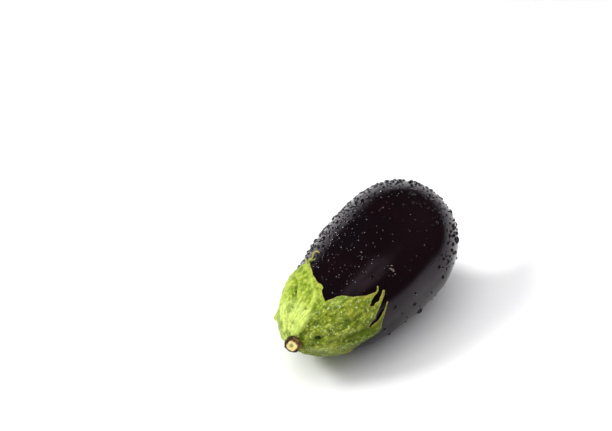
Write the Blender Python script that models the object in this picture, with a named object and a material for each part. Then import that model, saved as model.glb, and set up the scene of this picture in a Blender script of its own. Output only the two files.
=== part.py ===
"""An eggplant lying on its side: the fruit, the leafy calyx over its stem end, and the cut stem.

The fruit's long axis is +X, from the stem end to the blossom end. Its belly has a small flat spot at z = 0,
and the origin is the bottom centre of the whole object's box.
"""
import math

import bmesh
import bpy
import numpy as np

# Driving dimensions, in metres and degrees.
MAX_RADIUS = 0.0430
STEM_SIDE = 0.1060
BLOSSOM_SIDE = 0.0462
STEM_SIDE_SHAPE = (2.09, 1.98)
BLOSSOM_SIDE_SHAPE = (1.62, 2.72)
BELLY_BOW = 0.0029
NECK_START = 0.50
NECK_RISE = 0.0042
NECK_ASIDE = 0.0018
TILT_DEG = 4.0
FLAT_DEPTH = 0.0014
SCAR_DEPTH = 0.0006
GAP = 0.0003

# The calyx: each lobe is (angle of its tip, reach along the fruit), each notch the same between two lobes.
# Angles go round the long axis from +Y, through the top at 90 degrees. Reach is from the fruit's stem end.
LOBES = ((58, 0.0415), (141, 0.0550), (176, 0.0450), (252, 0.0380), (318, 0.0400))
NOTCHES = ((109, 0.0225), (162, 0.0350), (218, 0.0240), (285, 0.0190), (368, 0.0190))
LOBE_POWER = 0.80
EDGE_THICKNESS = 0.0010
BODY_THICKNESS = 0.0019
THICKNESS_FADE = 4.0
RIDGE_HEIGHT = 0.0010
COLLAR_SHARE = 0.3

# The stem: a short stub that leans aside and up, cut on the slant.
STEM_RADIUS = 0.0052
STEM_FOOT_ANGLE = 176
STEM_FOOT_DISTANCE = 0.0034
STEM_LEAN = (-0.714, -0.408, 0.568)
STEM_LENGTH = 0.0069
CUT_NORMAL = (-0.78, -0.40, 0.48)
HEART_RADIUS = 0.0037
HEART_DEPTH = 0.0003
HEART_TAPER = 0.8

# Mesh steps, and how finely the form is sampled.
ROUND_STEPS = 64
FRUIT_RINGS = 34
CALYX_STEPS = 90
CALYX_RINGS = 9
STEM_STEPS = 28
STEM_RINGS = 5
PROFILE_SAMPLES = 2001
SLOPE_STEP = 1e-5
SLICE_TOLERANCE = 1e-7
SHARP_ANGLE_DEG = 40
HOLE_SEARCH = 0.016


def clear_scene():
    for thing in list(bpy.data.objects):
        bpy.data.objects.remove(thing, do_unlink=True)


def material(name, colour, roughness):
    """A Principled material of one colour."""
    skin = bpy.data.materials.new(name)
    skin.use_nodes = True
    shader = skin.node_tree.nodes["Principled BSDF"]
    shader.inputs["Base Color"].default_value = (*colour, 1.0)
    shader.inputs["Roughness"].default_value = roughness
    shader.inputs["Metallic"].default_value = 0.0
    return skin


def add_object(name, bm, skin):
    """Turn a bmesh into a named, smooth shaded object with its faces pointing out."""
    bmesh.ops.recalc_face_normals(bm, faces=bm.faces)
    mesh = bpy.data.meshes.new(name)
    bm.to_mesh(mesh)
    bm.free()
    mesh.shade_smooth()
    mesh.set_sharp_from_angle(angle=math.radians(SHARP_ANGLE_DEG))
    mesh.materials.append(skin)
    thing = bpy.data.objects.new(name, mesh)
    bpy.context.collection.objects.link(thing)
    return thing


# ---- the fruit's form -------------------------------------------------------------------------------------


def fruit_radius(x):
    """Radius of the fruit at x: R * (1 - u^m)^(1/n), with u the share of the way to that end."""
    u = np.clip(np.where(x < 0, -x / STEM_SIDE, x / BLOSSOM_SIDE), 0.0, 1.0)
    m = np.where(x < 0, STEM_SIDE_SHAPE[0], BLOSSOM_SIDE_SHAPE[0])
    n = np.where(x < 0, STEM_SIDE_SHAPE[1], BLOSSOM_SIDE_SHAPE[1])
    return MAX_RADIUS * (1.0 - u ** m) ** (1.0 / n)


def centre_line(x):
    """Sideways and upward shift of the axis at x: the belly bows to -Y and the neck rises."""
    middle = (BLOSSOM_SIDE - STEM_SIDE) / 2
    half = (BLOSSOM_SIDE + STEM_SIDE) / 2
    neck = np.clip((-x / STEM_SIDE - NECK_START) / (1 - NECK_START), 0.0, 1.0) ** 2
    bow = 1.0 - ((x - middle) / half) ** 2
    return -BELLY_BOW * bow + NECK_ASIDE * neck, NECK_RISE * neck


def on_fruit(x, radius, angle):
    """Points at x, a given radius from the bowed axis, and an angle round it."""
    aside, up = centre_line(x)
    return np.stack([x + 0 * angle, aside + radius * np.cos(angle), up + radius * np.sin(angle)], axis=-1)


def lay_down(points):
    """Tilt the stem end down about the Y axis."""
    tilt = math.radians(TILT_DEG)
    x = points[..., 0] * math.cos(tilt) - points[..., 2] * math.sin(tilt)
    z = points[..., 0] * math.sin(tilt) + points[..., 2] * math.cos(tilt)
    return np.stack([x, points[..., 1], z], axis=-1)


def belly_depth():
    """How far the tilted fruit reaches below its axis origin."""
    x = np.linspace(-STEM_SIDE, BLOSSOM_SIDE, PROFILE_SAMPLES)
    lowest = lay_down(on_fruit(x, fruit_radius(x), np.full_like(x, -math.pi / 2)))
    return -lowest[:, 2].min()


def settle(points):
    """Lay points down and lift them so that the flat spot is at z = 0."""
    lying = lay_down(points)
    lying[..., 2] += belly_depth() - FLAT_DEPTH
    return lying


def ring_angles(steps):
    return np.arange(steps) * 2 * math.pi / steps


def add_rings(bm, grid):
    """Add a grid of points as closed rings of vertices, joined by quads. Returns the vertex rows."""
    rows = [[bm.verts.new(point) for point in row] for row in grid.tolist()]
    for near, far in zip(rows, rows[1:]):
        for i in range(len(near)):
            j = (i + 1) % len(near)
            bm.faces.new((near[i], near[j], far[j], far[i]))
    return rows


def build_fruit(skin):
    """The fruit: rings along the axis, a shallow scar at the blossom end, and a flat spot on the belly."""
    turn = np.linspace(0.0, math.pi, FRUIT_RINGS + 2)[1:-1]
    middle = (BLOSSOM_SIDE - STEM_SIDE) / 2
    half = (BLOSSOM_SIDE + STEM_SIDE) / 2
    x = (middle - half * np.cos(turn))[:, None]
    angle = ring_angles(ROUND_STEPS)[None, :]
    grid = on_fruit(x, fruit_radius(x), angle)
    bm = bmesh.new()
    rows = add_rings(bm, settle(grid))
    stem_pole = settle(on_fruit(np.array([-STEM_SIDE]), 0.0, np.zeros(1)))[0]
    scar_floor = BLOSSOM_SIDE - SCAR_DEPTH
    scar_pole = settle(on_fruit(np.array([scar_floor]), 0.0, np.zeros(1)))[0]
    for row, pole in ((rows[0], stem_pole), (rows[-1], scar_pole)):
        tip = bm.verts.new(pole)
        for i in range(len(row)):
            bm.faces.new((row[i], row[(i + 1) % len(row)], tip))
    cut_flat_spot(bm)
    return add_object("fruit", bm, skin)


def cut_flat_spot(bm):
    """Slice the belly off at z = 0 and close it with one flat face."""
    everything = bm.verts[:] + bm.edges[:] + bm.faces[:]
    cut = bmesh.ops.bisect_plane(bm, geom=everything, dist=SLICE_TOLERANCE, plane_co=(0, 0, 0),
                                 plane_no=(0, 0, -1), clear_outer=True)
    rim = [piece for piece in cut["geom_cut"] if isinstance(piece, bmesh.types.BMEdge)]
    for edge in rim:
        for vert in edge.verts:
            vert.co.z = 0.0
    bmesh.ops.contextual_create(bm, geom=rim)


# ---- the calyx --------------------------------------------------------------------------------------------


def lobe_reach(angle):
    """How far the calyx reaches along the fruit at an angle: it eases from each notch up to the next tip."""
    marks = sorted([(a % 360, r) for a, r in LOBES + NOTCHES])
    stops = np.array([marks[-1][0] - 360] + [a for a, _ in marks] + [marks[0][0] + 360])
    reach = np.array([marks[-1][1]] + [r for _, r in marks] + [marks[0][1]])
    where = np.degrees(angle) % 360
    right = np.searchsorted(stops, where, side="right")
    share = (where - stops[right - 1]) / (stops[right] - stops[right - 1])
    low = np.minimum(reach[right - 1], reach[right])
    high = np.maximum(reach[right - 1], reach[right])
    climb = np.where(reach[right] > reach[right - 1], share, 1 - share)
    return low + (high - low) * climb ** LOBE_POWER


def profile_table():
    """Arc length along the fruit's meridian from the stem end, against x."""
    x = -STEM_SIDE + (STEM_SIDE * np.linspace(0.0, 1.0, PROFILE_SAMPLES) ** 2)
    radius = fruit_radius(x)
    steps = np.hypot(np.diff(x), np.diff(radius))
    return x, np.concatenate([[0.0], np.cumsum(steps)])


def fruit_normal(x, angle):
    """Outward direction on the fruit, from the slope of its radius."""
    inside = np.clip(x, -STEM_SIDE + 2 * SLOPE_STEP, 0.0)
    slope = (fruit_radius(inside + SLOPE_STEP) - fruit_radius(inside - SLOPE_STEP)) / (2 * SLOPE_STEP)
    length = np.hypot(1.0, slope)
    return np.stack([-slope / length + 0 * angle, np.cos(angle) / length, np.sin(angle) / length], axis=-1)


def unit(vector):
    return np.array(vector) / np.linalg.norm(vector)


def fruit_point(s, angle, lift):
    """A point lifted off the fruit at arc length s from the stem end, and the outward direction there."""
    table_x, table_s = profile_table()
    x = np.interp(s, table_s, table_x)
    normal = fruit_normal(x, angle)
    return on_fruit(x, fruit_radius(x), angle) + lift * normal, normal


def stem_foot():
    """Where the stem stands on the fruit's shoulder, and the outward direction there."""
    point, normal = fruit_point(np.array([STEM_FOOT_DISTANCE]), np.radians([STEM_FOOT_ANGLE]), GAP)
    return point[0], normal[0]


def hole_start(angle):
    """Arc length from the fruit's stem end to the hole round the leaning stem, at each angle."""
    s = np.linspace(0.0, HOLE_SEARCH, PROFILE_SAMPLES)[:, None]
    points, _ = fruit_point(s, angle[None, :], GAP)
    foot, _ = stem_foot()
    lean = unit(STEM_LEAN)
    away = points - foot
    off_axis = np.linalg.norm(away - (away @ lean)[..., None] * lean, axis=-1)
    outside = off_axis > STEM_RADIUS + GAP
    last_inside = len(s) - 1 - np.argmin(outside[::-1], axis=0)
    return s[last_inside, 0]


def calyx_surfaces():
    """The calyx's under and upper surfaces, as two grids from the stem's hole to the lobes' edge."""
    angle = ring_angles(CALYX_STEPS)
    share = np.linspace(0.0, 1.0, CALYX_RINGS + 1)[:, None]
    table_x, table_s = profile_table()
    start = hole_start(angle)
    finish = np.interp(-STEM_SIDE + lobe_reach(angle), table_x, table_s)
    under, normal = fruit_point(start + (finish - start) * share, angle[None, :], GAP)
    lean = unit(STEM_LEAN)
    settled = np.clip(share / COLLAR_SHARE, 0.0, 1.0)[..., None]
    direction = lean / (normal @ lean)[..., None] * (1 - settled) + normal * settled
    lobe_phase = len(LOBES) * (angle - math.radians(LOBES[0][0]))
    ridge = RIDGE_HEIGHT * (0.5 + 0.5 * np.cos(lobe_phase)) * np.sin(math.pi * share)
    thick = BODY_THICKNESS - (BODY_THICKNESS - EDGE_THICKNESS) * share ** THICKNESS_FADE
    return under, under + direction * (thick + ridge)[..., None]


def build_calyx(skin):
    """The calyx: a leafy cap whose under side follows the fruit, with a hole for the stem."""
    under, upper = calyx_surfaces()
    shell = np.concatenate([under[::-1], upper], axis=0)
    bm = bmesh.new()
    rows = add_rings(bm, settle(shell))
    for i in range(CALYX_STEPS):
        j = (i + 1) % CALYX_STEPS
        bm.faces.new((rows[-1][i], rows[-1][j], rows[0][j], rows[0][i]))
    return add_object("calyx", bm, skin)


# ---- the stem ---------------------------------------------------------------------------------------------


def build_stem(skin):
    """The stem stub: a bar along its lean, its foot flat on the fruit's shoulder, its top cut slanted."""
    lean = unit(STEM_LEAN)
    cut = unit(CUT_NORMAL)
    side = unit(np.cross(lean, (0.0, 0.0, 1.0)))
    front = np.cross(side, lean)
    foot, foot_normal = stem_foot()
    head = foot + STEM_LENGTH * lean
    angle = ring_angles(STEM_STEPS)
    spoke = np.outer(np.cos(angle), side) + np.outer(np.sin(angle), front)
    start = -STEM_RADIUS * (spoke @ foot_normal) / (lean @ foot_normal)
    end = STEM_LENGTH - STEM_RADIUS * (spoke @ cut) / (lean @ cut)
    rows = []
    for share in np.linspace(0.0, 1.0, STEM_RINGS + 1):
        along = start * (1 - share) + end * share
        rows.append(foot + STEM_RADIUS * spoke + along[:, None] * lean)
    for radius, depth in ((HEART_RADIUS, 0.0), (HEART_RADIUS * HEART_TAPER, HEART_DEPTH)):
        flat = radius * (spoke - np.outer(spoke @ cut, cut))
        rows.append(head + flat - depth * cut)
    bm = bmesh.new()
    rings = add_rings(bm, settle(np.array(rows)))
    bm.faces.new(rings[0])
    bm.faces.new(rings[-1])
    return add_object("stem", bm, skin)


def set_origin(pieces):
    """Stand every piece under one empty that puts the origin at the bottom centre of the whole box."""
    corners = np.array([vert.co[:] for thing in pieces for vert in thing.data.vertices])
    middle = (corners.min(axis=0) + corners.max(axis=0)) / 2
    base = bpy.data.objects.new("eggplant_origin", None)
    base.location = (-middle[0], -middle[1], 0.0)
    bpy.context.collection.objects.link(base)
    for thing in pieces:
        thing.parent = base


def main():
    clear_scene()
    pieces = [
        build_fruit(material("fruit_skin", (0.008, 0.004, 0.008), 0.18)),
        build_calyx(material("calyx_green", (0.38, 0.52, 0.09), 0.55)),
        build_stem(material("stem_cut", (0.72, 0.60, 0.30), 0.70)),
    ]
    set_origin(pieces)
    bpy.context.view_layer.update()


main()
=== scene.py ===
"""A dark eggplant with water drops on it, lying on a pale floor: its skin, calyx, cut stem and water.

Lengths are in metres. A place on the fruit has a reach, its distance along the long axis from the stem end,
and an angle round that axis in degrees: 0 is the far side (+Y), 90 the top and 180 the near side (-Y).
Tables of places give the reach and the sizes in millimetres.
"""
import math

import bpy
import numpy as np
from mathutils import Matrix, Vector


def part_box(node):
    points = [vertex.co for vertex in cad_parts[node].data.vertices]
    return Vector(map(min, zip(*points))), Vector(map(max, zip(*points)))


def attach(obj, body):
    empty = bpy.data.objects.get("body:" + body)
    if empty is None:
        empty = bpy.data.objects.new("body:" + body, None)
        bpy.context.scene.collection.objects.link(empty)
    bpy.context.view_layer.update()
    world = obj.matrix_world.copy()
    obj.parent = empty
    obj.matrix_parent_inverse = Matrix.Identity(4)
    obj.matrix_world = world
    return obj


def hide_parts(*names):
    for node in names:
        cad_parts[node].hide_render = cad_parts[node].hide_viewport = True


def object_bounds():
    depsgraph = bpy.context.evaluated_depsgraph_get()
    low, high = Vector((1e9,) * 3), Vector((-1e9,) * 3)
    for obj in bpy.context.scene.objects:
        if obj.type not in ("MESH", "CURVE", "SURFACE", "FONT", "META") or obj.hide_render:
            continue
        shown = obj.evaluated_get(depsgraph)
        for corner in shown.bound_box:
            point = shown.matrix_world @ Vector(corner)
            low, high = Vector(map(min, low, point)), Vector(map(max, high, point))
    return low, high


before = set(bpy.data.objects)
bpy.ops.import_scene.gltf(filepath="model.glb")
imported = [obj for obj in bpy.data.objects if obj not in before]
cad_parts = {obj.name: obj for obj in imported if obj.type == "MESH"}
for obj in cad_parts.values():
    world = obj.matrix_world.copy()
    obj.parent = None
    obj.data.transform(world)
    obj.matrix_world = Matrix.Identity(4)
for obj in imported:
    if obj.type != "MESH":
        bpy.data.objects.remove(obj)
CAD_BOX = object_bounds()

MM = 0.001

# Where each kind of random draw starts.
SWELL_SEED = 40
EDGE_SEED = 60
WRINKLE_SEED = 80
STREAK_SEED = 90
RAISE_SEED = 95
DROP_SEED = 11
MIST_SEED = 12
DEW_SEED = 23

# ---- the fruit's form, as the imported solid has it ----

MAX_RADIUS = 0.0430
STEM_SIDE = 0.1060
BLOSSOM_SIDE = 0.0462
MIDDLE_X = (BLOSSOM_SIDE - STEM_SIDE) / 2
HALF_LENGTH = (BLOSSOM_SIDE + STEM_SIDE) / 2
STEM_SIDE_SHAPE = (2.09, 1.98)
BLOSSOM_SIDE_SHAPE = (1.62, 2.72)
BELLY_BOW = 0.0029
NECK_START = 0.50
NECK_RISE = 0.0042
NECK_ASIDE = 0.0018
TILT = math.radians(4.0)
FLAT_DEPTH = 0.0014
PROFILE_SAMPLES = 4001

# Uneven swelling of the skin: (length of its waves, height), and how much of the stem end stays even.
SWELLS = ((0.055, 0.00022), (0.021, 0.00006))
SWELL_FREE_REACH = 0.030

# ---- the skin ----

SKIN_RINGS = 230
SKIN_STEPS = 240
FLAT_SOFTNESS = 0.0004
SCAR_RADIUS = 0.0042
SCAR_DEPTH = 0.0010
SCAR_RIM = 0.00035
# Its puckers as waves round it: (height as a share, count, start in radians).
SCAR_PUCKERS = ((0.05, 5, 0.6), (0.07, 3, 2.0), (0.04, 11, 0.0))

# ---- the calyx ----

# Each lobe's two edges run from the notches beside it to its tip, as (angle, reach) in degrees and mm.
LOBES = (
    {"steps": 104,
     "low": ((8, 19.0), (11, 24.0), (16, 29.0), (21, 34.5), (28, 38.0), (36, 39.6), (44, 41.0), (50, 43.2)),
     "high": ((107, 23.7), (100.5, 25.0), (95.5, 27.0), (92, 29.5), (88.5, 30.7), (83, 30.6), (77, 32.2),
              (66.5, 36.3), (59.5, 39.2), (55.5, 41.2), (52, 43.4))},
    {"steps": 66,
     "low": ((107, 23.7), (109.5, 26.8), (112.2, 30.0), (114.2, 32.4), (118.7, 33.5), (123, 36.0),
             (127, 39.3), (131.2, 42.2), (132.6, 45.0), (135.4, 49.0), (134.9, 51.2), (131.8, 53.2)),
     "high": ((142.8, 41.2), (139.2, 44.5), (137.6, 47.1), (137.0, 50.0), (135.7, 51.9), (132.3, 53.4))},
    {"steps": 48,
     "low": ((142.8, 41.2), (145.2, 44.0), (145.0, 46.7), (144.6, 49.3), (141.6, 51.9), (138.6, 54.8)),
     "high": ((165.7, 35.0), (160.8, 39.0), (158, 42.0), (153.3, 43.8), (149, 47.7), (144.9, 51.6),
              (142.6, 54.2), (139.3, 55.5))},
    {"steps": 76,
     "low": ((165.7, 35.0), (166.2, 38.8), (164.1, 42.3), (162.3, 44.0), (159.3, 46.4), (156.7, 49.3),
             (151.0, 53.1)),
     "high": ((214, 22.5), (208, 23.2), (200, 24.8), (191.2, 29.7), (186, 34.4), (184, 38.8), (180, 41.5),
              (175, 43.5), (168.5, 44.8), (163.2, 45.3), (160.2, 48.2), (157.5, 50.2), (151.5, 53.4))},
    {"steps": 60,
     "low": ((214, 22.5), (220, 27.5), (228, 29.5), (236, 34.0), (244, 37.5), (250, 40.5)),
     "high": ((285, 19.0), (279, 24.0), (271, 27.0), (266, 32.0), (258, 36.5), (251.2, 40.8))},
    {"steps": 62,
     "low": ((285, 19.0), (292, 25.0), (299, 28.0), (306, 34.0), (313, 38.5), (318, 42.0)),
     "high": ((368, 19.0), (360, 22.0), (351, 28.0), (343, 30.0), (333, 36.0), (324, 39.0), (319.2, 42.4))},
)
COLLAR_ROWS = 46
LOBE_ROWS = 68
EDGE_WOBBLE = 0.00028
WOBBLE_LENGTH = 0.0032
HOLE_SEARCH = 0.016

# Thickness of the leafy tissue, and how far its edge stands off the skin.
EDGE_THICKNESS = 0.00055
BODY_THICKNESS = 0.0016
THICKEN_OVER = 0.0028
UNDERSIDE_THINNING = 0.45
UNDER_GAP = 0.00012
# Bands of angles in degrees: (start, end, eased over how much at the start and at the end).
UNDERSIDE_BAND = (185, 300, 25, 30)
# The near lobes' darker green is partly their own olive colour and partly painted shade.
OLIVE_AND_SHADE_BAND = (102, 300, 16, 50)
# Painted shade on the near lobe's low outer part.
PAINTED_SHADE_BAND = (156, 262, 14, 20)
PALE_EDGE_BAND = (106, 130, 5, 12)
PALE_EDGE_SHARE = 0.42
EDGE_RAISE = 0.00055
RAISE_OVER = 0.0016
RAISE_UNEVENNESS = 0.8
RAISE_LENGTH = 0.011
LEAST_THICKNESS = 0.0004
COLLAR_SHARE = 0.3
COLLAR_SWELL = 0.0012

# Folds in the calyx: (height in mm, width below and above it in mm, path of (reach in mm, angle)).
FOLDS = (
    (1.6, 2.3, 2.0, ((2, 117), (6, 112), (12, 102.5), (21, 96), (24.6, 91), (28, 82), (32, 73), (38, 62))),
    (-0.5, 1.4, 1.8, ((4, 134), (8, 128), (13, 119), (19, 112), (24, 107))),
    (-1.9, 3.0, 0.8, ((15.5, 67), (20, 62), (23, 58), (26.6, 54), (31.5, 43), (35, 38))),
    (0.7, 2.2, 1.4, ((13, 78), (17, 70), (21, 72), (26, 68), (31, 58))),
    (-0.7, 1.0, 1.2, ((7, 86), (10.5, 90), (14, 93), (17, 91))),
    (0.5, 4.5, 4.5, ((5, 143), (18, 137), (34, 135), (48, 136))),
    (-0.5, 1.2, 1.2, ((9, 150), (18, 152), (30, 148), (41, 143.5))),
    (0.6, 3.4, 3.4, ((10, 157), (24, 156), (38, 153), (50, 146))),
    (-0.7, 1.3, 1.3, ((12, 166), (22, 166), (34, 166))),
    (0.8, 4.0, 4.0, ((6, 178), (22, 180), (38, 174), (46, 166))),
    (1.0, 3.4, 3.4, ((4, 238), (18, 246), (38, 251))),
    (1.0, 3.4, 3.4, ((4, 316), (18, 320), (38, 318))),
    (0.9, 4.0, 3.0, ((6, 20), (20, 36), (34, 44))),
)
# Hollows and bumps: (height in mm, radius in mm, reach in mm, angle).
SPOTS = (
    (-1.7, 1.9, 11.8, 126), (-2.7, 2.2, 8.4, 152.5), (-0.7, 2.4, 10.4, 138),
    (-1.6, 1.2, 5.6, 170), (-0.9, 1.3, 14.0, 93), (-0.7, 1.2, 9.0, 80),
    (2.0, 3.2, 9.4, 4), (1.4, 10.0, 28.0, 30), (-0.6, 8.0, 9.0, 214),
    (0.8, 2.0, 16.0, 62), (-0.6, 1.2, 20.5, 128), (-0.6, 1.3, 25.0, 146),
    (0.7, 2.2, 12.0, 138), (-0.8, 1.2, 12.0, 172), (0.6, 2.0, 7.0, 98),
)
WRINKLES = ((0.0075, 0.00017), (0.0030, 0.00009), (0.0018, 0.00010))
FRESH_LOBE_WRINKLES = 0.95
STREAK_HEIGHT = 0.00009
STREAK_WIDTH = 0.16
FLOW_SCALE = 6.0
FOLD_STARTS_OVER = 0.003
FOLD_ENDS_OVER = 0.004
RELIEF_AT_EDGE = 0.25
RELIEF_OVER = 0.0035

# Dry strips at the far lobe's tip: (curl in mm, path of (reach in mm, angle, lift in mm, width in mm)).
DRY_CURLS = (
    (0.45, ((41.5, 51.5, 1.1, 2.8), (43.3, 53.0, 1.5, 2.2), (44.6, 56.5, 1.9, 1.8), (46.4, 57.0, 2.7, 1.6),
            (48.5, 56.3, 3.0, 1.5), (49.8, 58.0, 2.6, 1.3), (49.6, 61.5, 2.0, 0.8))),
    (0.25, ((41.0, 50.5, 1.0, 2.2), (42.8, 47.5, 1.0, 1.6), (44.8, 44.0, 1.2, 1.2), (46.6, 40.5, 1.2, 0.7))),
    (0.20, ((42.5, 52.0, 0.7, 1.5), (43.8, 55.0, 0.8, 1.3), (44.4, 59.0, 1.2, 0.9), (45.6, 60.5, 1.6, 0.5))),
)
# A short corky scratch on the skin, as one strip in the same form.
SKIN_GRAZE = (
    (0.0, ((66.6, 127.4, 0.10, 0.35), (67.9, 128.2, 0.12, 0.60), (67.2, 129.6, 0.12, 0.45),
           (68.7, 130.4, 0.12, 0.60), (67.8, 131.6, 0.10, 0.45), (68.6, 132.6, 0.10, 0.30))),
    (0.0, ((68.8, 126.2, 0.10, 0.30), (69.6, 126.9, 0.12, 0.45), (70.0, 127.8, 0.10, 0.25))),
)
CURL_ROWS = 44
CURL_SIDES = 14
CURL_THICKNESS = 0.00028
DRY_EDGE_MM = 0.1
DRY_FLOW_SCALE = 40.0
DRY_OLIVE = 0.6

# ---- the cut stem ----

STEM_RADIUS = 0.0052
STEM_FOOT_ANGLE = 176
STEM_FOOT_DISTANCE = 0.0034
STEM_LEAN = (-0.714, -0.408, 0.568)
STEM_LENGTH = 0.0069
CUT_NORMAL = (-0.78, -0.40, 0.48)
STEM_STEPS = 120
STEM_WALL_ROWS = 30
STEM_FACE_ROWS = 22
BARK_LIP = 0.0005
# Its blunt corners as waves round it: (height, count, start in radians), and how far it flares at its ends.
STEM_CORNERS = ((0.00030, 4, 0.7), (0.00018, 3, 2.0))
FOOT_FLARE = 0.0010
TOP_FLARE = 0.0004
WOOD_SHARE = 0.78
# The wood lies off centre, so the dark bark is wider on one side: partly dry bark, partly painted shade.
WOOD_ASIDE = 0.29
WOOD_ASIDE_ANGLE = math.radians(315)
PITH_SHARE = 0.30
# On the cut face, as shares of its radius: the lip's crest, the groove inside it, and the width of both.
LIP_SHARE = 0.93
GROOVE_SHARE = 0.82
RING_WIDTH = 0.05
GROOVE_DEPTH = 0.0007
PITH_DEPTH = 0.0005
FACE_SUNK = 0.0003
BARK_SHARE = 1.2

# ---- water ----

# Single drops: (reach in mm, angle, radius in mm, stretch, turn of the stretch in degrees).
LARGE_DROPS = (
    (129.7, 166.3, 1.9, 1.45, 80), (99.9, 58.0, 1.7, 1.5, 20), (61.9, 24.2, 1.5, 1.2, 90),
    (75.8, 38.0, 1.4, 1.2, 30), (106.1, 155.0, 1.0, 1.2, 60), (110.6, 167.8, 1.1, 1.3, 80),
    (100.7, 162.8, 1.2, 1.2, 40), (127.1, 156.5, 1.2, 1.2, 90), (121.5, 160.2, 1.2, 1.3, 70),
    (102.5, 178.0, 1.2, 1.5, 85), (74.9, 166.0, 0.9, 1.4, 70), (72.8, 178.0, 1.3, 1.1, 0),
    (56.9, 163.5, 1.35, 1.1, 0), (82.8, 206.0, 1.9, 1.5, 85), (34.6, 82.8, 0.9, 1.1, 0),
    (52.6, 112.8, 0.8, 1.0, 0), (103.0, 48.0, 1.3, 1.2, 30), (86.0, 30.0, 1.3, 1.2, 60),
)
# Bands of angles in degrees, as for the calyx, where drops, mist and dew lie.
WET_FAR_SIDE = (-75, 82, 30, 20)
WET_TOP = (-20, 145, 40, 45)
MISTY_TOP = (20, 152, 25, 25)
MISTY_NEAR_LEAF = (48, 125, 15, 20)
DEWY_LEAF = (108, 240, 14, 30)
# Shares of the places that hold a drop: anywhere, the extra where it is beaded, and the extra on top.
DROPS_ANYWHERE = 0.03
DROPS_BEADED = 0.9
DROPS_ON_TOP = 0.03
# The drops that are tried, their usual radius where the skin is dry and the extra where it is beaded, in mm.
DROPS_TRIED = 6400
DROP_RADIUS = 0.56
DROP_RADIUS_BEADED = 0.18
DROP_RADIUS_SPREAD = 0.34
DROP_RADIUS_LIMITS = (0.28, 1.6)
DROP_GAP = 0.00045
DROP_CLEARANCE = 1.2
DROP_FOOT = math.radians(-18.0)
# Drops over the first radius are the large ones, and those up to the second are the fine ones, in mm.
LARGE_RADIUS = 1.05
FINE_RADIUS = 0.55
# Random drops keep to these angles, and stretches are turned from this direction.
WET_ANGLES = (-60, 225)
ACROSS_FRUIT = (0.0, 1.0, 0.05)
# Share of the places that hold a speck of mist, its usual radius and how far it keeps off the leaf, in mm.
MIST_ON_TOP = 0.10
MIST_NEAR_LEAF = 0.26
MIST_RADIUS = 0.31
MIST_CLEARANCE = 4.0
# The dew's drops that are tried, their usual radius, its spread and its limits in mm, and their height.
DEW_TRIED = 900
DEW_RADIUS = 0.26
DEW_RADIUS_SPREAD = 0.35
DEW_RADIUS_LIMITS = (0.15, 0.7)
DEW_HEIGHT = 0.7
DEW_GAP = 0.0001
WATER_IOR = 1.36
# Water on the skin is tinted dark: painted shade that makes the drops read as dark beads.
DARK_PAINTED_WATER_ON_SKIN = (0.14, 0.13, 0.14)
WATER_ON_LEAF = (1.0, 1.0, 1.0)
BEAD_HEIGHT = 0.88
FILM_HEIGHT = 0.80

# ---- the room ----

CAMERA_AZIMUTH = -50.9
CAMERA_ELEVATION = 45.0
CAMERA_DISTANCE = 0.9
CAMERA_LENS = 75.44
CAMERA_AIM = (0.0195, 0.0660, 0.0416)
SENSOR_WIDTH = 36.0
FLOOR_SIZE = 3.4
FLOOR_CENTRE = (-0.523, 1.300)
FLOOR_DROP = 0.0001
FLOOR_GLOW = (0.85, 0.85, 0.87)
FLOOR_GLOW_FROM_TO = (0.45, 1.60)

# Each lamp: (name, direction, distance, size, power, whether gloss mirrors it).
LAMPS = (
    ("key", (-0.50, 0.48, 0.70), 1.15, 0.26, 7.2, True),
    ("key_soft", (-0.34, 0.33, 0.88), 1.50, 1.10, 7.0, False),
    ("overhead", (0.0, 0.0, 1.0), 1.80, 2.40, 31.0, False),
)
# A wide lamp in the key's place that lights only the clear water, as (direction, distance, size, power).
WATER_LAMP = ((-0.50, 0.48, 0.70), 1.15, 0.90, 42.0)
# A spot lamp that lights only the floor behind the blossom end: its place, its aim, its width and its power.
FLOOR_LAMP_PLACE = (0.122, -0.016, 0.200)
FLOOR_LAMP_AIM = (0.118, -0.016, 0.0)
FLOOR_LAMP_WIDTH = math.radians(28.0)
FLOOR_LAMP_POWER = 1.25
# The room's colours: as matt surfaces get it, as gloss mirrors it and its white sweep, and as the backdrop.
ROOM_LIGHT = (0.236, 0.232, 0.246)
ROOM_MIRRORED = (0.012, 0.011, 0.012)
SWEEP_MIRRORED = (1.0, 1.0, 1.03)
BACKDROP = (1.1, 1.1, 1.1)
# The white sweep is mirrored up to a height that rises towards the far left.
SWEEP_RISE_TOWARDS = (-0.096, 0.995, 0.0)
SWEEP_HEIGHT = 0.07
SWEEP_SOFTNESS = 0.12
SWEEP_RISE = 0.20
# A soft warm glow in the dark room above, and how wide it is (as 1 - cosine of its half width).
GLOW_DIRECTION = (-0.030, -0.510, 0.860)
GLOW_COLOUR = (1.25, 1.10, 1.12)
GLOW_WIDTH = 0.068


# ---- shapes ----


def ease(share):
    """Smooth step: 3t^2 - 2t^3 on the clipped share."""
    t = np.clip(share, 0.0, 1.0)
    return t * t * (3.0 - 2.0 * t)


def between(value, start, end, over_start, over_end):
    """A share that eases in from a start and eases out towards an end."""
    return ease((value - start) / over_start) * ease((end - value) / over_end)


def unit(vectors):
    """A vector, or rows of vectors, at length one."""
    return np.array(vectors) / np.linalg.norm(vectors, axis=-1, keepdims=True)


def turn_between(start, end):
    """The turn from one angle to another, at most half a turn either way."""
    return np.mod(end - start + math.pi, 2 * math.pi) - math.pi


def waves(points, length, seed, count=26):
    """Even random swelling: the sum of plane sine waves of about one length, in random directions."""
    rng = np.random.default_rng(seed)
    direction = unit(rng.normal(size=(count, 3)))
    stretch = length * rng.uniform(0.7, 1.6, count)
    phase = rng.uniform(0.0, 2 * math.pi, count)
    turns = points @ (direction * (2 * math.pi / stretch)[:, None]).T
    return np.sin(turns + phase).sum(axis=-1) / math.sqrt(count / 2)


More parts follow.
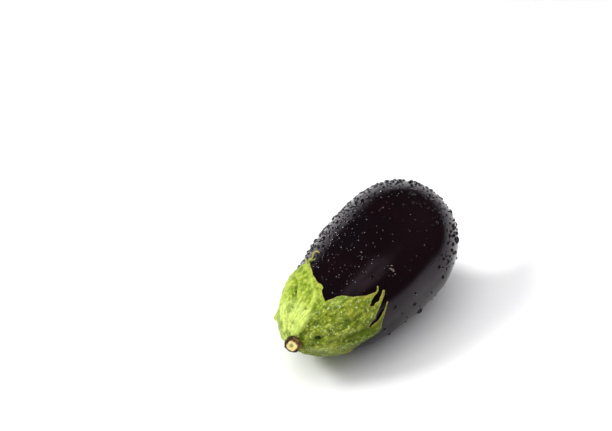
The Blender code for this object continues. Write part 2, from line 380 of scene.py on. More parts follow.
def fruit_radius(x):
    """Radius of the fruit at x: R * (1 - u^m)^(1/n), with u the share of the way to that end."""
    u = np.clip(np.where(x < 0, -x / STEM_SIDE, x / BLOSSOM_SIDE), 0.0, 1.0)
    m = np.where(x < 0, STEM_SIDE_SHAPE[0], BLOSSOM_SIDE_SHAPE[0])
    n = np.where(x < 0, STEM_SIDE_SHAPE[1], BLOSSOM_SIDE_SHAPE[1])
    return MAX_RADIUS * (1.0 - u ** m) ** (1.0 / n)


def centre_line(x):
    """Sideways and upward shift of the axis at x: the belly bows to -Y and the neck rises."""
    neck = np.clip((-x / STEM_SIDE - NECK_START) / (1 - NECK_START), 0.0, 1.0) ** 2
    bow = 1.0 - ((x - MIDDLE_X) / HALF_LENGTH) ** 2
    return -BELLY_BOW * bow + NECK_ASIDE * neck, NECK_RISE * neck


def on_fruit(x, radius, angle):
    """Points at x, a given radius from the bowed axis, and an angle round it."""
    aside, up = centre_line(x)
    return np.stack([x + 0 * angle, aside + radius * np.cos(angle), up + radius * np.sin(angle)], axis=-1)


def tilted(vectors):
    """Vectors turned about the Y axis, so that the stem end is lower."""
    x = vectors[..., 0] * math.cos(TILT) - vectors[..., 2] * math.sin(TILT)
    z = vectors[..., 0] * math.sin(TILT) + vectors[..., 2] * math.cos(TILT)
    return np.stack([x, vectors[..., 1], z], axis=-1)


def fruit_normal(x, angle):
    """Outward direction on the fruit, from the slope of its radius."""
    step = 1e-5
    inside = np.clip(x, -STEM_SIDE + 2 * step, BLOSSOM_SIDE - 2 * step)
    slope = (fruit_radius(inside + step) - fruit_radius(inside - step)) / (2 * step)
    length = np.hypot(1.0, slope)
    return np.stack([-slope / length + 0 * angle, np.cos(angle) / length, np.sin(angle) / length], axis=-1)


def find_row_shift():
    """Where the fruit's axis origin stands in the row frame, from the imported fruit's box."""
    low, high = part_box("fruit")
    turn = np.linspace(0.0, math.pi, PROFILE_SAMPLES)[:, None]
    x = MIDDLE_X - HALF_LENGTH * np.cos(turn)
    angle = np.radians(np.arange(0, 360, 10))[None, :]
    lying = tilted(on_fruit(x, fruit_radius(x), angle)).reshape(-1, 3)
    middle = (lying.min(axis=0) + lying.max(axis=0)) / 2
    return np.array([(low.x + high.x) / 2 - middle[0], (low.y + high.y) / 2 - middle[1],
                     low.z - lying[:, 2].min() - FLAT_DEPTH])


ROW_SHIFT = find_row_shift()
# The length of the skin's profile, s, at each x: two tables that run from the stem end to the blossom end.
TABLE_X = -STEM_SIDE + 2 * HALF_LENGTH * np.sin(np.linspace(0.0, math.pi / 2, PROFILE_SAMPLES)) ** 2
TABLE_S = np.concatenate([[0.0], np.cumsum(np.hypot(np.diff(TABLE_X), np.diff(fruit_radius(TABLE_X))))])


def swell(points):
    """How far the uneven skin stands out at points of the even form; nothing at the stem end."""
    total = sum(height * waves(points, length, SWELL_SEED + i) for i, (length, height) in enumerate(SWELLS))
    return total * ease((points[..., 0] + STEM_SIDE) / SWELL_FREE_REACH - 1.0)


def skin_point(x, angle, lift):
    """A point lifted off the uneven skin, and the outward direction there, both in the row frame."""
    normal = fruit_normal(x, angle)
    base = on_fruit(x, fruit_radius(x), angle)
    out = base + (swell(base) + lift)[..., None] * normal
    return tilted(out) + ROW_SHIFT, tilted(normal)


def x_of_arc(s):
    return np.interp(s, TABLE_S, TABLE_X)


def arc_of_reach(reach):
    return np.interp(reach - STEM_SIDE, TABLE_X, TABLE_S)


# ---- meshes ----


def add_mesh(name, points, faces, material):
    """A mesh object from its points and a list of face arrays."""
    mesh = bpy.data.meshes.new(name)
    mesh.from_pydata(points.reshape(-1, 3), [], [face for part in faces for face in part.tolist()])
    mesh.materials.append(material)
    piece = bpy.data.objects.new(name, mesh)
    bpy.context.collection.objects.link(piece)
    return piece


def make_piece(name, points, faces, material, replaces=None):
    """A smooth mesh piece that rides on the one body, with its finish."""
    piece = add_mesh(name, points, faces, material)
    piece.data.shade_smooth()
    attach(piece, "root")
    if replaces:
        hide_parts(replaces)
    return piece


def set_attributes(piece, **values):
    """Store a number, or a vector, for each vertex under each name."""
    for name, numbers in values.items():
        kind, key = ("FLOAT_VECTOR", "vector") if numbers.ndim > 1 else ("FLOAT", "value")
        stored = piece.data.attributes.new(name, kind, "POINT")
        stored.data.foreach_set(key, numbers.astype(np.float32).ravel())


def tube_faces(rows, steps):
    """Faces of a closed tube: quads between its rings, and a cap from each end ring to its pole.

    Its vertices are the rings, row by row, then the first ring's pole and the last ring's pole.
    """
    r, c = np.meshgrid(np.arange(rows - 1), np.arange(steps), indexing="ij")
    n = (c + 1) % steps
    quads = np.stack([r * steps + c, r * steps + n, (r + 1) * steps + n, (r + 1) * steps + c], axis=-1)
    here = np.arange(steps)
    after = (here + 1) % steps
    last = (rows - 1) * steps
    pole = np.full(steps, rows * steps)
    caps = np.stack([after, here, pole], axis=-1), np.stack([here + last, after + last, pole + 1], axis=-1)
    return [quads.reshape(-1, 4), *caps]


def build_skin(material):
    """The fruit's skin: rings along the axis spaced by a cosine, with a dimpled scar at the blossom end.

    Points under the floor are eased up to it: z' = (z + sqrt(z^2 + w^2)) / 2, which leaves a flat spot.
    """
    turn = np.linspace(0.0, math.pi, SKIN_RINGS + 2)[1:-1, None]
    x = MIDDLE_X - HALF_LENGTH * np.cos(turn)
    angle = (np.arange(SKIN_STEPS) * 2 * math.pi / SKIN_STEPS)[None, :]
    from_pole = TABLE_S[-1] - np.interp(x, TABLE_X, TABLE_S)
    dimple, scar = blossom_scar(from_pole, angle)
    grid, _ = skin_point(x + 0 * angle, angle + 0 * x, dimple)
    poles, _ = skin_point(np.array([-STEM_SIDE, BLOSSOM_SIDE]), np.zeros(2), np.array([0.0, -SCAR_DEPTH]))
    points = np.concatenate([grid.reshape(-1, 3), poles])
    z = points[:, 2]
    points[:, 2] = (z + np.sqrt(z ** 2 + FLAT_SOFTNESS ** 2)) / 2
    faces = [part[:, ::-1] for part in tube_faces(SKIN_RINGS, SKIN_STEPS)]
    piece = make_piece("eggplant_skin", points, faces, material, "fruit")
    set_attributes(piece, scar=np.concatenate([scar.ravel(), [0.0, 1.0]]))


def blossom_scar(from_pole, angle):
    """Height and brownness of the scar: a hollow inside a low puckered ring, both fading with distance."""
    pucker = 1.0 + sum(height * np.sin(count * angle + start) for height, count, start in SCAR_PUCKERS)
    share = from_pole / (SCAR_RADIUS * pucker)
    hollow = -SCAR_DEPTH * np.exp(-(share * 1.2) ** 2)
    ring = SCAR_RIM * np.exp(-((share - 1.0) / 0.28) ** 2)
    return hollow + ring, np.exp(-(share * 1.1) ** 3)


# ---- the calyx ----


def stem_axes():
    """The stem's foot in the fruit's own frame, its lean, and two directions across it."""
    angle = np.radians([STEM_FOOT_ANGLE])
    x = x_of_arc(np.array([STEM_FOOT_DISTANCE]))
    foot = on_fruit(x, fruit_radius(x), angle)[0]
    lean = unit(STEM_LEAN)
    side = unit(np.cross(lean, (0.0, 0.0, 1.0)))
    return foot, lean, side, np.cross(side, lean)


def hole_start(angle):
    """Arc length from the fruit's stem end to the hole round the leaning stem, at each angle."""
    s = np.linspace(0.0, HOLE_SEARCH, 1201)[:, None]
    x = x_of_arc(s)
    points = on_fruit(x, fruit_radius(x), angle[None, :])
    foot, lean, _, _ = stem_axes()
    away = points - foot
    off_axis = np.linalg.norm(away - (away @ lean)[..., None] * lean, axis=-1)
    last_inside = len(s) - 1 - np.argmin((off_axis > STEM_RADIUS)[::-1], axis=0)
    return s[last_inside, 0]


def lobe_edge(marks, seed):
    """An edge of a lobe as (angle, arc length) rows: straight between its marks, with a slight wobble."""
    angle = np.radians([mark[0] for mark in marks])
    arc = arc_of_reach(np.array([mark[1] for mark in marks]) * MM)
    across = fruit_radius(x_of_arc(arc))
    gaps = np.hypot(np.diff(arc), np.diff(angle) * (across[1:] + across[:-1]) / 2)
    along = np.concatenate([[0.0], np.cumsum(gaps)])
    share = np.linspace(0.0, 1.0, LOBE_ROWS + 1)
    where = share * along[-1]
    line = np.stack([where, where * 0, where * 0], axis=-1)
    fade = np.sin(math.pi * np.clip(share * 0.97, 0, 1)) ** 0.5
    wobble = EDGE_WOBBLE * fade * waves(line, WOBBLE_LENGTH, seed)
    turn = wobble / np.interp(where, along, across)
    return np.interp(where, along, angle) + turn, np.interp(where, along, arc)


def lobe_sheet(index, lobe):
    """One lobe's flat layout as two grids in one array: angle, then arc length.

    Its collar rows run out from the stem's hole at a fixed angle to a line between the two notches. Its lobe
    rows then join the low edge to the high edge, each row at the same share of both edges.
    """
    low = np.array(lobe_edge(lobe["low"], EDGE_SEED + 2 * index))[..., None]
    high = np.array(lobe_edge(lobe["high"], EDGE_SEED + 2 * index + 1))[..., None]
    grid = low + (high - low) * np.linspace(0.0, 1.0, lobe["steps"] + 1)
    notch_angle, notch_arc = grid[:, 0]
    start = hole_start(notch_angle)
    share = np.linspace(0.0, 1.0, COLLAR_ROWS + 1)[:-1, None] ** 0.9
    collar = np.stack([notch_angle + 0 * share, start + (notch_arc - start) * share])
    return np.concatenate([collar, grid], axis=1)


def fold_relief(s, angle):
    """Height of the folds and spots: each is a bell across its path, or round its centre."""
    radius = fruit_radius(x_of_arc(s))
    reach = x_of_arc(s) + STEM_SIDE
    total = np.zeros_like(s)
    for height, below, above, path in FOLDS:
        along = np.array([mark[0] for mark in path]) * MM
        middle = np.interp(reach, along, np.radians([mark[1] for mark in path]))
        off = turn_between(middle, angle) * radius / MM
        bell = np.exp(-(off / np.where(off < 0, below, above)) ** 2)
        starts = ease((reach - along[0]) / FOLD_STARTS_OVER + 0.5)
        ends = starts * ease((along[-1] - reach) / FOLD_ENDS_OVER + 0.5)
        total += height * MM * bell * ends
    for height, size, at_reach, at_angle in SPOTS:
        at_arc = arc_of_reach(at_reach * MM)
        at_radius = fruit_radius(x_of_arc(at_arc))
        off = np.hypot(s - at_arc, turn_between(math.radians(at_angle), angle) * at_radius) / (size * MM)
        total += height * MM * np.exp(-off ** 2)
    return total


def distance_to(points, targets):
    """Distance from each point of a grid to the nearest target, one grid row at a time."""
    rows = [np.linalg.norm(row[:, None, :] - targets[None, :, :], axis=-1).min(axis=1) for row in points]
    return np.array(rows)


def flow_of(s, angle):
    """A coordinate along the leaf fibres, for patterns: round the fruit in two numbers, and outward."""
    return np.stack([np.cos(angle), np.sin(angle), s * FLOW_SCALE], axis=-1)


def calyx_layers(angle, s, outline):
    """The calyx's under and upper surface over a flat layout, its distance to the outline and its relief.

    It thickens inwards by 1 - e^(-distance), its edge stands off the skin, and at the stem it leans along it.
    """
    x = x_of_arc(s)
    base, normal = skin_point(x, angle, 0 * s)
    edge = distance_to(base, outline)
    inner = 1.0 - np.exp(-edge / THICKEN_OVER)
    thinner = 1.0 - UNDERSIDE_THINNING * between(np.degrees(angle) % 360, *UNDERSIDE_BAND)
    thick = EDGE_THICKNESS + (BODY_THICKNESS * thinner - EDGE_THICKNESS) * inner
    relief = fold_relief(s, angle)
    rough = FRESH_LOBE_WRINKLES + (1 - FRESH_LOBE_WRINKLES) * olive_share(angle)
    relief += rough * sum(h * waves(base, length, WRINKLE_SEED + i) for i, (length, h) in enumerate(WRINKLES))
    relief += STREAK_HEIGHT * waves(flow_of(s, angle), STREAK_WIDTH, STREAK_SEED)
    relief *= RELIEF_AT_EDGE + (1 - RELIEF_AT_EDGE) * ease(edge / RELIEF_OVER)
    uneven = 1.0 + RAISE_UNEVENNESS * waves(base, RAISE_LENGTH, RAISE_SEED)
    stands_off = EDGE_RAISE * np.exp(-edge / RAISE_OVER) * uneven
    under = base + (UNDER_GAP + np.clip(stands_off, 0, None))[..., None] * normal
    lean = tilted(stem_axes()[1])
    settled = np.ones(len(s))
    settled[:COLLAR_ROWS + 1] = np.clip(np.linspace(0.0, 1.0, COLLAR_ROWS + 1) / COLLAR_SHARE, 0.0, 1.0)
    settled = settled[:, None, None]
    direction = lean / np.clip(normal @ lean, 0.5, None)[..., None] * (1 - settled) + normal * settled
    collar = COLLAR_SWELL * (1 - settled[..., 0]) * thinner
    height = np.clip(thick + relief + collar, LEAST_THICKNESS, None)
    return under, under + direction * height[..., None], edge, relief


def build_calyx(material):
    """The calyx: six lobes with torn, dry edges, joined in a collar round the stem, as one closed shell."""
    sheets = [lobe_sheet(i, lobe) for i, lobe in enumerate(LOBES)]
    edges = [part for sheet in sheets for part in (sheet[:, COLLAR_ROWS:, 0], sheet[:, COLLAR_ROWS:, -1],
                                                   sheet[:, -1])]
    marks = np.concatenate(edges, axis=1)
    outline, _ = skin_point(x_of_arc(marks[1]), marks[0], 0 * marks[0])
    angle, s = np.concatenate(sheets, axis=2)
    under, upper, edge, relief = calyx_layers(angle, s, outline)
    top = sheet_faces(weld_collar(*angle.shape))
    faces = np.concatenate([top, top[:, ::-1] + angle.size, rim_faces(top, angle.size)])
    points = np.concatenate([upper.reshape(-1, 3), under.reshape(-1, 3)])
    used, renumbered = np.unique(faces, return_inverse=True)
    piece = make_piece("calyx_leaf", points[used], [renumbered.reshape(-1, 4)], material, "calyx")
    flow = flow_of(s, angle).reshape(-1, 3)
    set_attributes(piece, edge_mm=np.tile(edge.ravel() / MM, 2)[used], flow=np.tile(flow, (2, 1))[used],
                   relief_mm=np.concatenate([relief.ravel(), 0 * relief.ravel()])[used] / MM,
                   olive=np.tile(olive_share(angle).ravel(), 2)[used],
                   shade=np.tile(shade_share(s, angle).ravel(), 2)[used])
    return upper, edge, s, angle


def olive_share(angle):
    """How olive the leaf is: the far lobe is a fresh light green, and the near ones are darker, partly as
    painted shade.
    """
    return between(np.degrees(angle) % 360, *OLIVE_AND_SHADE_BAND)


def shade_share(s, angle):
    """Painted shade and light on the leaf: 1 is painted shade on the low outer part of the near lobe, -1
    painted light by the stem on the far lobe.

    The near lobe's upper edge is a little paler too.
    """
    turn = np.degrees(angle) % 360
    reach = (x_of_arc(s) + STEM_SIDE) / MM
    painted_underside_shade = between(turn, *PAINTED_SHADE_BAND) * ease((reach - 13) / 13) * (0.80 + 0.20 * ease((reach - 26) / 9))
    upper_edge = between(turn, *PALE_EDGE_BAND) * ease((reach - 20) / 6)
    return painted_underside_shade - PALE_EDGE_SHARE * upper_edge - ease((20 - reach) / 10) * (1 - olive_share(angle))


def weld_collar(rows, columns):
    """Vertex numbers of the grid, with each lobe's last collar column shared with the next lobe's first."""
    index = np.arange(rows * columns).reshape(rows, columns)
    last = np.cumsum([lobe["steps"] + 1 for lobe in LOBES]) - 1
    first = (last + 1) % columns
    index[:COLLAR_ROWS + 1, last] = index[:COLLAR_ROWS + 1, first]
    return index


def sheet_faces(index):
    """Quads of every lobe's grid, facing outwards; none between one lobe and the next."""
    parts = []
    start = 0
    for lobe in LOBES:
        block = index[:, start:start + lobe["steps"] + 1]
        quads = np.stack([block[:-1, :-1], block[:-1, 1:], block[1:, 1:], block[1:, :-1]], axis=-1)
        parts.append(quads.reshape(-1, 4))
        start += lobe["steps"] + 1
    return np.concatenate(parts)[:, ::-1]


def rim_faces(top, count):
    """Quads that close the shell: one for each edge that only one top face uses."""
    ends = np.concatenate([top[:, [i, (i + 1) % 4]] for i in range(4)])
    keys = np.sort(ends, axis=1)
    _, inverse, uses = np.unique(keys, axis=0, return_inverse=True, return_counts=True)
    open_ends = ends[uses[inverse.ravel()] == 1]
    start, end = open_ends.T
    return np.stack([end, start, start + count, end + count], axis=-1)


def build_strips(name, strips, material):
    """Thin strips that run over the skin or curl up off it, with the leaf's attributes for a dry tip.

    Each strip is a bent lens carried along its path: its edges are lifted by curl * u^2 and its ends closed.
    """
    points, faces = [], []
    u = np.cos(np.arange(CURL_SIDES) * 2 * math.pi / CURL_SIDES)
    v = np.sin(np.arange(CURL_SIDES) * 2 * math.pi / CURL_SIDES)
    share = np.linspace(0.0, 1.0, CURL_ROWS)
    for curl, path in strips:
        marks = np.array(path, float)
        at = np.linspace(0.0, 1.0, len(marks))
        reach, angle, lift, width = (smooth_through(at, marks[:, i], share) for i in range(4))
        middle, normal = skin_point(reach * MM - STEM_SIDE, np.radians(angle), lift * MM)
        across = np.cross(normal, unit(np.gradient(middle, axis=0)))
        half = (width * np.sqrt(np.clip(1 - (2 * share - 1) ** 8, 0.02, 1)) / 2 * MM)[:, None]
        high = CURL_THICKNESS / 2 * v + curl * MM * u ** 2 * half / half.max()
        grid = middle[:, None] + (half * u)[..., None] * across[:, None] + high[..., None] * normal[:, None]
        first = sum(map(len, points))
        faces += [part + first for part in tube_faces(CURL_ROWS, CURL_SIDES)]
        points += [grid.reshape(-1, 3), grid[[0, -1]].mean(axis=1)]
    points = np.concatenate(points)
    piece = make_piece(name, points, faces, material)
    same = np.ones(len(points))
    set_attributes(piece, edge_mm=DRY_EDGE_MM * same, flow=points * DRY_FLOW_SCALE, relief_mm=0 * same,
                   olive=DRY_OLIVE * same, shade=0 * same)


def smooth_through(at, values, share):
    """A smooth run through evenly spaced values: a cubic between each pair, sloped by its neighbours."""
    slope = np.gradient(values, at)
    i = np.clip(np.searchsorted(at, share, side="right") - 1, 0, len(at) - 2)
    gap = at[i + 1] - at[i]
    t = (share - at[i]) / gap
    start = (1 + 2 * t) * (1 - t) ** 2 * values[i] + t * (1 - t) ** 2 * gap * slope[i]
    return start + t * t * (3 - 2 * t) * values[i + 1] + t * t * (t - 1) * gap * slope[i + 1]


# ---- the stem ----


def build_stem(material):
    """The stem stub: a ribbed bark wall up its lean, a dark lip, and a slanted cut face with soft pith.

    Wall rows go from the foot to the cut. Face rows shrink from the lip to the centre by share^0.8, and the
    wood lies off centre inside the bark, so that the dark bark is thicker on one side: partly dry bark,
    partly painted shade.
    """
    foot, lean, side, front = stem_axes()
    cut = unit(CUT_NORMAL)
    angle = np.arange(STEM_STEPS) * 2 * math.pi / STEM_STEPS
    spoke = np.outer(np.cos(angle), side) + np.outer(np.sin(angle), front)
    head = foot + STEM_LENGTH * lean
    end = STEM_LENGTH - STEM_RADIUS * (spoke @ cut) / (lean @ cut)
    rise = np.linspace(0.0, 1.0, STEM_WALL_ROWS)[:, None]
    corners = sum(height * np.cos(count * angle + start) for height, count, start in STEM_CORNERS)
    rib = 0.00016 * np.sin(9 * angle + 1.5 * np.sin(2 * angle)) + 0.00010 * np.sin(23 * angle + 4 * rise)
    flare = FOOT_FLARE * (1 - rise) ** 3 + TOP_FLARE * rise ** 2
    flare = flare + 0.00025 * np.sin(7 * rise + 2 * np.cos(angle))
    shrink = 1.0 - 0.10 * ease((rise - 0.90) / 0.10)
    radius = (STEM_RADIUS + corners + rib + flare) * shrink
    wall = foot + radius[..., None] * spoke + (end * rise)[..., None] * lean
    share = np.linspace(1.0, 0.0, STEM_FACE_ROWS + 1)[1:-1, None] ** 0.8
    in_wood = ease((1.0 - share) / (1.0 - WOOD_SHARE))
    aside = WOOD_ASIDE * STEM_RADIUS * in_wood[..., None] * (
        math.cos(WOOD_ASIDE_ANGLE) * side + math.sin(WOOD_ASIDE_ANGLE) * front)
    grain = 0.00008 * np.sin(31 * angle + 5 * share) * np.sin(math.pi * share)
    torn = 1 + 0.5 * np.sin(3 * angle + 1) + 0.3 * np.sin(8 * angle)
    lip = BARK_LIP * np.exp(-((share - LIP_SHARE) / RING_WIDTH) ** 2) * torn
    groove = -GROOVE_DEPTH * np.exp(-((share - GROOVE_SHARE) / RING_WIDTH) ** 2)
    pith = -PITH_DEPTH * np.exp(-(share / PITH_SHARE) ** 4)
    flat_radius = (STEM_RADIUS + corners) * 0.90 * share * (1 + 0.02 * np.sin(6 * angle))
    flat = spoke - np.outer((spoke @ cut) / (lean @ cut), lean)
    face = head + flat_radius[..., None] * flat + aside
    face = face + (grain + lip + groove + pith - FACE_SUNK)[..., None] * cut
    centre = head + aside[-1, 0] - (FACE_SUNK + PITH_DEPTH) * cut
    rings = np.concatenate([wall, face])
    points = np.concatenate([rings.reshape(-1, 3), foot[None, :], centre[None, :]])
    faces = tube_faces(len(rings), STEM_STEPS)
    piece = make_piece("stem_stub", tilted(points) + ROW_SHIFT, faces, material, "stem")
    across = np.concatenate([np.full(STEM_WALL_ROWS, BARK_SHARE), share[:, 0]])
    set_attributes(piece, from_pith=np.concatenate([np.repeat(across, STEM_STEPS), [BARK_SHARE, 0.0]]))


# ---- water ----


def drop_template(steps, rows):
    """A closed dome's points: rings at angle t from its foot up, radius cos t, height sin t, then poles."""
    t = np.linspace(DROP_FOOT, math.pi / 2, rows + 1)[:-1, None]
    angle = np.arange(steps) * 2 * math.pi / steps
    ring = np.stack([np.cos(t) * np.cos(angle), np.cos(t) * np.sin(angle), np.sin(t) + 0 * angle], axis=-1)
    return np.concatenate([ring.reshape(-1, 3), [[0.0, 0.0, math.sin(DROP_FOOT)], [0.0, 0.0, 1.0]]])


def build_drops(name, material, drops, steps, rows):
    """Many domes as one mesh: the template, stretched along a turned tangent and stood on each place.

    The drops are arrays: centres, normals, radii, heights as shares of the radii, stretches and their turns.
    """
    centres, normals, radius, height, stretch, turn = drops
    template = drop_template(steps, rows)
    along = unit(np.cross(normals, ACROSS_FRUIT))
    across = np.cross(normals, along)
    first = np.cos(turn)[:, None] * along + np.sin(turn)[:, None] * across
    second = np.cross(normals, first)
    sizes = np.stack([radius * stretch, radius / np.sqrt(stretch), radius * height], axis=1)
    points = centres[:, None] + template @ (sizes[..., None] * np.stack([first, second, normals], axis=1))
    offset = (np.arange(len(centres)) * len(template))[:, None, None]
    faces = [(part + offset).reshape(-1, part.shape[1]) for part in tube_faces(rows, steps)]
    return make_piece(name, points, faces, material)


def spread_out(places, radius, gap):
    """Keep places one by one, in order, where no kept drop is nearer than their two radii and a gap."""
    kept = []
    for i in range(len(places)):
        if kept:
            off = np.linalg.norm(places[kept] - places[i], axis=1)
            if (off < radius[kept] + radius[i] + gap).any():
                continue
        kept.append(i)
    return np.array(kept)


def wetness(reach, angle):
    """How wet the fruit is at a reach in mm and an angle in degrees.

    Gives the share of places that hold a drop, the usual drop radius in mm, and how beaded the drops are,
    which is most on the far side and at the blossom end.
    """
    far_side = between(angle, *WET_FAR_SIDE) * (0.35 + 0.65 * ease((angle + 5) / 35))
    blossom_start = 112 - 14 * ease((angle - 146) / 10)
    blossom = ease((reach - blossom_start) / 14) * ease((176 - angle) / 8)
    beaded = np.maximum(far_side, blossom)
    share = DROPS_ANYWHERE + DROPS_BEADED * beaded + DROPS_ON_TOP * between(angle, *WET_TOP)
    return share, DROP_RADIUS + DROP_RADIUS_BEADED * beaded, beaded


def mistiness(reach, angle):
    """The same for the specks of mist: thinly spread on top, and closer together near the leaf."""
    near_leaf = between(angle, *MISTY_NEAR_LEAF) * ease((88 - reach) / 30)
    share = MIST_ON_TOP * between(angle, *MISTY_TOP) + MIST_NEAR_LEAF * near_leaf
    return share, MIST_RADIUS + 0 * reach, 0 * reach


def scatter(count, seed, wet, clearance):
    """Random drops, even by area, thinned by a wetness: x, angle, radius, height, stretch and turn."""
    rng = np.random.default_rng(seed)
    x = rng.uniform(-STEM_SIDE, BLOSSOM_SIDE, count)
    angle = rng.uniform(-90, 270, count)
    wide = rng.uniform(0, MAX_RADIUS, count) < fruit_radius(x)
    reach = (x + STEM_SIDE) / MM
    share, size, beaded = wet(reach, angle)
    keep = wide & (rng.uniform(0, 1, count) < share)
    radius = np.clip(size * np.exp(rng.normal(0.0, DROP_RADIUS_SPREAD, count)), *DROP_RADIUS_LIMITS) * MM
    turn = rng.uniform(0, math.pi, count)
    stretch = 1.0 + 0.35 * rng.uniform(0, 1, count) ** 2
    height = FILM_HEIGHT + (BEAD_HEIGHT - FILM_HEIGHT) * beaded
    keep &= ~under_calyx(reach - clearance, angle) & (angle >= WET_ANGLES[0]) & (angle <= WET_ANGLES[1])
    return np.stack([x, np.radians(angle), radius, height, stretch, turn])[:, keep]


def under_calyx(reach, angle):
    """Whether a place lies under the calyx: inside the outline of the lobes."""
    marks = []
    for lobe in LOBES:
        marks += list(lobe["low"][:-1]) + list(lobe["high"][::-1])[:-1]
    turns = np.array([mark[0] for mark in marks], float)
    reaches = np.array([mark[1] for mark in marks])
    order = np.argsort(turns % 360, kind="stable")
    limit = np.interp(angle % 360, (turns % 360)[order], reaches[order], period=360)
    return reach < limit


def build_water(clear, misty):
    """All the water on the skin: the single large drops, then random ones by size, then the mist."""
    reach, turned, size, stretch, turn = np.array(LARGE_DROPS).T
    single = np.stack([reach * MM - STEM_SIDE, np.radians(turned), size * MM, 0 * size + BEAD_HEIGHT,
                       stretch, np.radians(turn)])
    loose = scatter(DROPS_TRIED, DROP_SEED, wetness, DROP_CLEARANCE)
    mist = scatter(DROPS_TRIED, MIST_SEED, mistiness, MIST_CLEARANCE)
    places = np.concatenate([single, loose[:, np.argsort(-loose[2])], mist], axis=1)
    x, angle, radius, height, stretch, turn = places
    centres, normals = skin_point(x, angle, 0 * x)
    kept = spread_out(centres, radius, DROP_GAP)
    is_mist = kept >= len(x) - mist.shape[1]
    large = ~is_mist & (radius[kept] / MM > LARGE_RADIUS)
    fine = ~is_mist & (radius[kept] / MM <= FINE_RADIUS)
    # The mist specks are tiny drops whose pale colour is a painted glint.
    groups = (("water_drops_large", large, clear, 20, 7),
              ("water_drops_medium", ~is_mist & ~large & ~fine, clear, 12, 5),
              ("water_drops_fine", fine, clear, 8, 3),
              ("water_mist_painted_glints", is_mist, misty, 8, 3))
    pieces = []
    for name, group, material, steps, rows in groups:
        drops = (values[kept[group]] for values in (centres, normals, radius, height, stretch, turn))
        pieces.append(build_drops(name, material, drops, steps, rows))
    return pieces


def build_dew(material, upper, edge, s, angle):
    """Tiny drops on the calyx, mostly on its near lobes, each on a vertex of the upper surface."""
    rng = np.random.default_rng(DEW_SEED)
    normals = np.cross(np.gradient(upper, axis=1), np.gradient(upper, axis=0))
    size = np.linalg.norm(normals, axis=-1)
    turn = np.degrees(angle) % 360
    by_stem = 0.35 + 0.65 * ease((0.030 - s) / 0.014)
    dew_and_glint_share = 0.05 + between(turn, *DEWY_LEAF) * by_stem
    weight = size * dew_and_glint_share * (edge > 1.5 * MM) * (s > 6 * MM)
    weight = weight.ravel() / weight.sum()
    pick = rng.choice(weight.size, DEW_TRIED, replace=False, p=weight)
    centres = upper.reshape(-1, 3)[pick]
    normals = (-normals / np.clip(size, 1e-12, None)[..., None]).reshape(-1, 3)[pick]
    base, outward = skin_point(x_of_arc(s.ravel()[pick]), angle.ravel()[pick], 0 * pick)
    normals *= np.sign((normals * outward).sum(axis=1))[:, None]
    radius = DEW_RADIUS * np.exp(rng.normal(0.0, DEW_RADIUS_SPREAD, len(pick)))
    radius = np.clip(radius, *DEW_RADIUS_LIMITS) * MM
    kept = spread_out(centres, radius, DEW_GAP)
    one = np.ones(len(kept))
    drops = centres[kept], normals[kept], radius[kept], DEW_HEIGHT * one, one, 0 * one
    return build_drops("dew_on_calyx", material, drops, 8, 3)


# ---- finishes ----


def set_inputs(node, inputs):
    """Set a node's inputs: each to a value, a colour without its alpha, or another node's output."""
    for key, value in inputs.items():
        socket = node.inputs[key]
        if isinstance(value, bpy.types.NodeSocket):
            node.id_data.links.new(value, socket)
        elif socket.type == "RGBA":
            socket.default_value = (*value, 1.0)
        else:
            socket.default_value = value


def add_node(kind, inputs, **settings):
    """A shader node with its settings, in the same tree as the nodes that feed it."""
    tree = next(value.id_data for value in inputs.values() if isinstance(value, bpy.types.NodeSocket))
    node = tree.nodes.new(kind)
    for key, value in settings.items():
        setattr(node, key, value)
    set_inputs(node, inputs)
    return node


def noise(where, scale, detail=3.0, rough=0.55):
    inputs = {"Vector": where, "Scale": scale, "Detail": detail, "Roughness": rough}
    return add_node("ShaderNodeTexNoise", inputs).outputs["Fac"]


def stretched(where, scale):
    return add_node("ShaderNodeMapping", {"Vector": where, "Scale": scale}).outputs["Vector"]


def ramp(factor, *stops):
    """Colours spread along a factor: each stop is (place, colour)."""
    node = add_node("ShaderNodeValToRGB", {"Fac": factor})
    points = node.color_ramp.elements
    for place, _ in stops[1:-1]:
        points.new(place)
    for point, (place, colour) in zip(points, stops):
        point.position = place
        point.color = (*colour, 1.0)
    return node.outputs["Color"]


def fade(value, low, high, at_low=0.0, at_high=1.0):
    """A value carried smoothly from one range to another."""
    inputs = {"Value": value, "From Min": low, "From Max": high, "To Min": at_low, "To Max": at_high}
    return add_node("ShaderNodeMapRange", inputs, interpolation_type="SMOOTHSTEP").outputs["Result"]


def blend(share, first, second, mode="MIX"):
    inputs = {0: share, 6: first, 7: second}
    return add_node("ShaderNodeMix", inputs, data_type="RGBA", blend_type=mode).outputs[2]


def paint(body, *layers):
    """A colour with others laid over it in turn: each layer is (share, colour)."""
    for share, colour in layers:
        body = blend(share, body, colour)
    return body


def sums(kind, first, second):
    return add_node("ShaderNodeMath", {0: first, 1: second}, operation=kind).outputs[0]


def dot(vector, direction):
    inputs = {0: vector, 1: tuple(direction)}
    return add_node("ShaderNodeVectorMath", inputs, operation="DOT_PRODUCT").outputs["Value"]


def upward(where):
    return add_node("ShaderNodeSeparateXYZ", {0: where}).outputs[2]


def bump(height, strength, distance):
    inputs = {"Height": height, "Strength": strength, "Distance": distance}
    return add_node("ShaderNodeBump", inputs).outputs["Normal"]


def attribute(shader, name, output="Fac"):
    node = shader.id_data.nodes.new("ShaderNodeAttribute")
    node.attribute_name = name
    return node.outputs[output]


def start_material(name):
    """A new material, its shader, and places on its piece."""
    material = bpy.data.materials.new(name)
    material.use_nodes = True
    nodes = material.node_tree.nodes
    return material, nodes["Principled BSDF"], nodes.new("ShaderNodeTexCoord").outputs["Object"]


